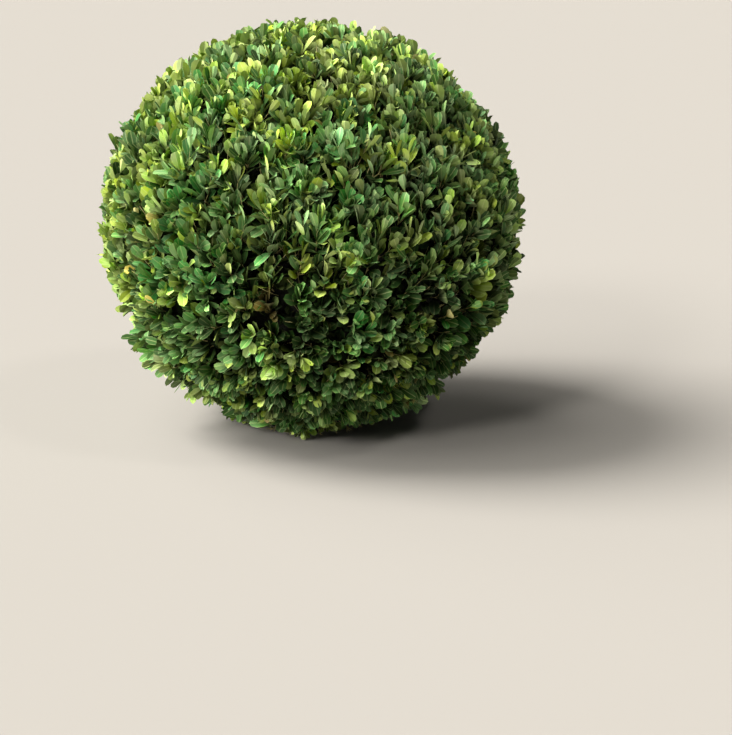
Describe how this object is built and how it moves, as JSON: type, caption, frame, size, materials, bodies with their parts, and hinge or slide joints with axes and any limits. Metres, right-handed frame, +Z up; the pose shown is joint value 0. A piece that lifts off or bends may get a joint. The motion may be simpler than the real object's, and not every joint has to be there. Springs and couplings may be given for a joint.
{
  "type": "preserved box topiary ball",
  "caption": "Round ball of small preserved box leaves on leafy sprigs, pinned in courses over a foam core, resting on a flattened foot.",
  "frame": {"origin": "middle of the flat patch that the ball stands on", "axes": "+Z up through the middle of the ball; -Y towards the viewer of the picture"},
  "size_m": [0.4577, 0.4583, 0.432],
  "materials": {
    "leaves": "leathery preserved box leaves with a slight waxy sheen",
    "twigs": "dry, thin tan-green twigs",
    "stem_mat": "dark mat of bound stems and small leaves",
    "foam": "dull green craft foam"
  },
  "bodies": {
    "root": {"foam_ball": "foam", "foliage_foot": "leaves", "foliage_underside": "leaves", "foliage_lower_side": "leaves", "foliage_upper_side": "leaves", "foliage_shoulder": "leaves", "foliage_crown": "leaves"}
  },
  "joints": []
}
